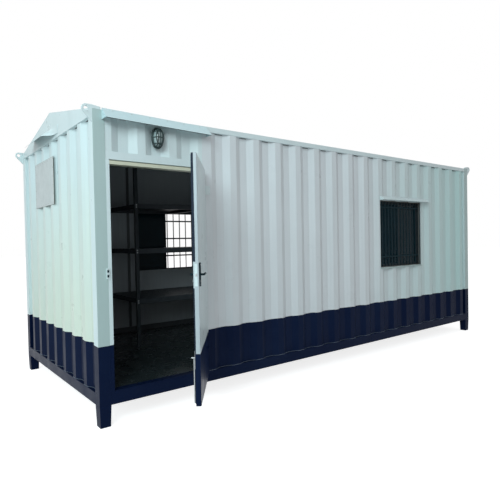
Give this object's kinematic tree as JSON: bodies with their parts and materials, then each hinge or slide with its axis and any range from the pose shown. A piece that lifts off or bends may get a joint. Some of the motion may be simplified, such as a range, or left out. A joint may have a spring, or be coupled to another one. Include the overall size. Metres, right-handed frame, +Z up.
{
  "type": "portable site cabin",
  "caption": "Corrugated steel site cabin on a channel base, with feet, lifting eyes, low gable roof, outward door, grilled windows and an inner storage rack.",
  "frame": {"origin": "centre of the underside of the front-left corner foot, on the ground", "axes": "+X along the door wall to the right as seen from outside, +Y into the cabin away from the door wall, +Z up"},
  "size_m": [6.287, 3.2012, 2.8592],
  "materials": {
    "off_white_enamel": "gloss",
    "navy_enamel": "gloss",
    "cream_enamel": "gloss",
    "grey_white_sheet": "satin",
    "floor_covering": "gloss",
    "lining_board": "satin",
    "lamp_green": "satin",
    "dark_steel": "satin",
    "rack_steel": "satin",
    "window_frame_white": "gloss",
    "dark_aluminium": "satin",
    "tinted_glass": "gloss"
  },
  "bodies": {
    "cabin": {"base_side_rails": "navy_enamel", "base_end_rails": "navy_enamel", "floor_joists": "navy_enamel", "corner_feet": "navy_enamel", "floor_deck": "floor_covering", "corner_posts": "off_white_enamel", "top_side_rails": "off_white_enamel", "top_end_rails": "off_white_enamel", "front_wall": "off_white_enamel", "front_wall_over_door": "off_white_enamel", "back_wall": "off_white_enamel", "back_wall_at_window": "off_white_enamel", "door_header": "off_white_enamel", "left_end_wall": "off_white_enamel", "right_end_wall": "off_white_enamel", "front_lining": "lining_board", "front_lining_over_door": "lining_board", "back_lining": "lining_board", "back_lining_at_window": "lining_board", "end_linings": "lining_board", "ceiling": "lining_board", "roof_front_slope": "off_white_enamel", "roof_back_slope": "off_white_enamel", "gable_plates": "off_white_enamel", "ridge_cap": "off_white_enamel", "door_canopy": "off_white_enamel", "front_window_shade": "off_white_enamel", "end_rain_hood": "off_white_enamel", "lifting_lugs": "off_white_enamel", "air_conditioner_cover": "grey_white_sheet", "lamp": "lamp_green", "door_jambs": "navy_enamel", "door_head": "cream_enamel", "door_sill": "navy_enamel", "hinge_frame_knuckles": "off_white_enamel", "lock_keeper": "dark_steel", "wall_plate": "off_white_enamel", "front_window_frame": "window_frame_white", "front_window_sashes": "dark_aluminium", "front_window_glass": "tinted_glass", "front_window_grille": "dark_steel", "back_window_frame": "window_frame_white", "back_window_sashes": "dark_aluminium", "back_window_glass": "tinted_glass", "back_window_grille": "dark_steel", "rack_posts": "rack_steel", "rack_shelves": "rack_steel"},
    "door": {"door_leaf": "off_white_enamel", "hinge_leaf_knuckles": "off_white_enamel", "door_lock": "dark_steel", "door_handles": "dark_steel"}
  },
  "joints": [
    {"name": "door_hinge", "type": "hinge", "parent": "cabin", "child": "door", "pos_m": [0.978, -0.075, 1.236], "axis": [0, 0, 1], "range_deg": [-53.2, 61.8]}
  ]
}
